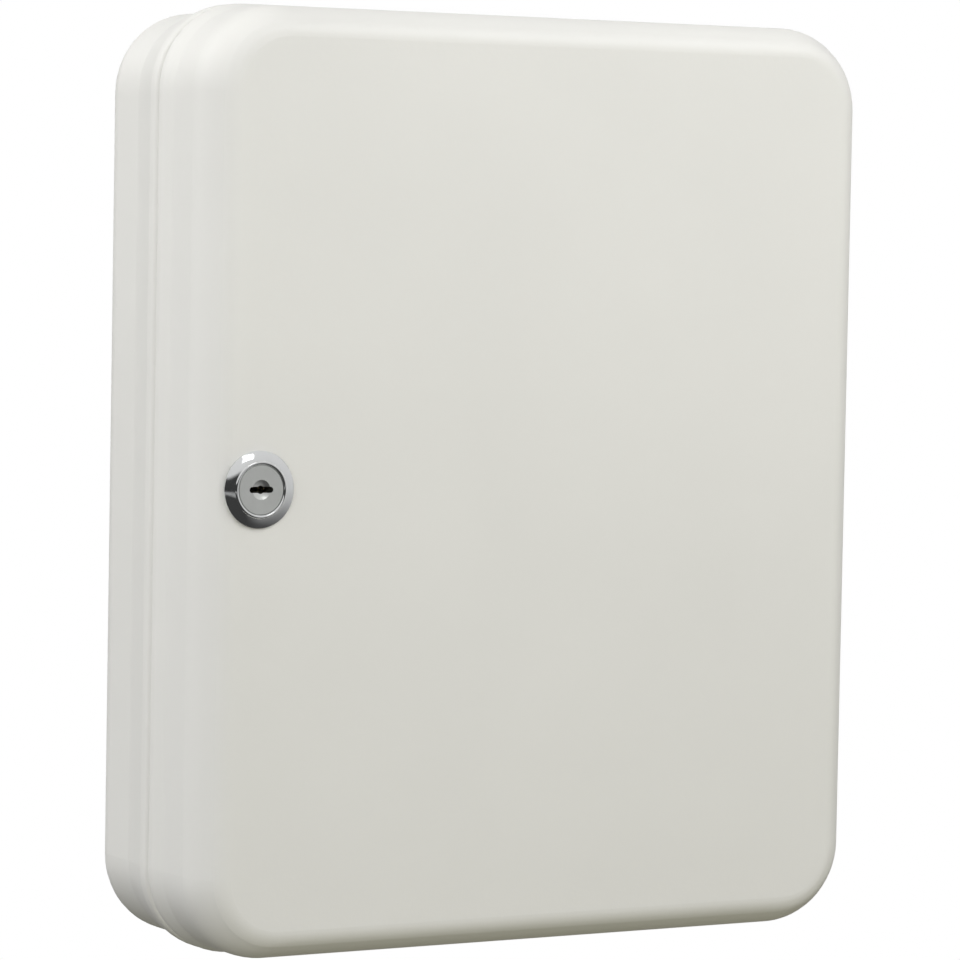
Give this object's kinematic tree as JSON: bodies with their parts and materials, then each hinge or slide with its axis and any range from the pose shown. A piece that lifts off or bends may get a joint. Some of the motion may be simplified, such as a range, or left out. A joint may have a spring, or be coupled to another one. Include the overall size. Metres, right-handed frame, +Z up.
{
  "type": "key cabinet",
  "caption": "Wall-hung steel key cabinet with rounded corners, a deep hinged door with a cam lock, and rails of numbered key hooks inside.",
  "frame": {"origin": "centre of the four wall-bolt holes, on the back face", "axes": "+Z up, the front faces -Y, +Y points into the wall, +X to the right as seen from the front"},
  "size_m": [0.248, 0.0825, 0.3],
  "materials": {
    "shell_paint": "smooth warm grey-white powder coat, satin",
    "rail_paint": "the same powder coat on the rails and uprights",
    "number_card": "matt printed film",
    "lock_chrome": "bright chrome plate",
    "lock_face": "satin nickel plate",
    "wafer_brass": "bare stamped brass",
    "spring_steel": "bare spring wire",
    "pin_steel": "bare drawn steel",
    "zinc_steel": "bright zinc plate"
  },
  "bodies": {
    "cabinet": {"cabinet_body": "shell_paint", "body_upright_left": "rail_paint", "body_upright_right": "rail_paint", "body_rail_1": "rail_paint", "body_rail_2": "rail_paint", "body_rail_3": "rail_paint", "body_rail_4": "rail_paint", "body_rail_5": "rail_paint", "body_rail_6": "rail_paint", "body_number_strip_1": "number_card", "body_number_strip_2": "number_card", "body_number_strip_3": "number_card", "body_number_strip_4": "number_card", "body_number_strip_5": "number_card", "body_number_strip_6": "number_card", "upper_hinge_body_leaf": "zinc_steel", "lower_hinge_body_leaf": "zinc_steel", "upper_hinge_pin": "pin_steel", "lower_hinge_pin": "pin_steel"},
    "door": {"door_shell": "shell_paint", "door_upright_left": "rail_paint", "door_upright_right": "rail_paint", "door_rail_1": "rail_paint", "door_rail_2": "rail_paint", "door_rail_3": "rail_paint", "door_rail_4": "rail_paint", "door_rail_5": "rail_paint", "door_number_strip_1": "number_card", "door_number_strip_2": "number_card", "door_number_strip_3": "number_card", "door_number_strip_4": "number_card", "door_number_strip_5": "number_card", "upper_hinge_door_leaf": "zinc_steel", "lower_hinge_door_leaf": "zinc_steel", "lock_housing": "lock_chrome", "lock_tooth_washer": "zinc_steel", "lock_nut": "zinc_steel"},
    "lock_cylinder": {"lock_plug": "lock_face", "lock_wafers": "wafer_brass", "lock_wafer_springs": "spring_steel", "lock_stop_washer": "zinc_steel", "lock_cam": "zinc_steel", "lock_cam_screw": "zinc_steel"}
  },
  "joints": [
    {"name": "door_hinge", "type": "hinge", "parent": "cabinet", "child": "door", "pos_m": [0.123, -0.0435, 0], "axis": [0, 0, 1], "range_deg": [0, 180]},
    {"name": "lock_turn", "type": "hinge", "parent": "door", "child": "lock_cylinder", "pos_m": [-0.104, -0.08, -0.0008], "axis": [0, -1, 0], "range_deg": [0, 90]}
  ]
}
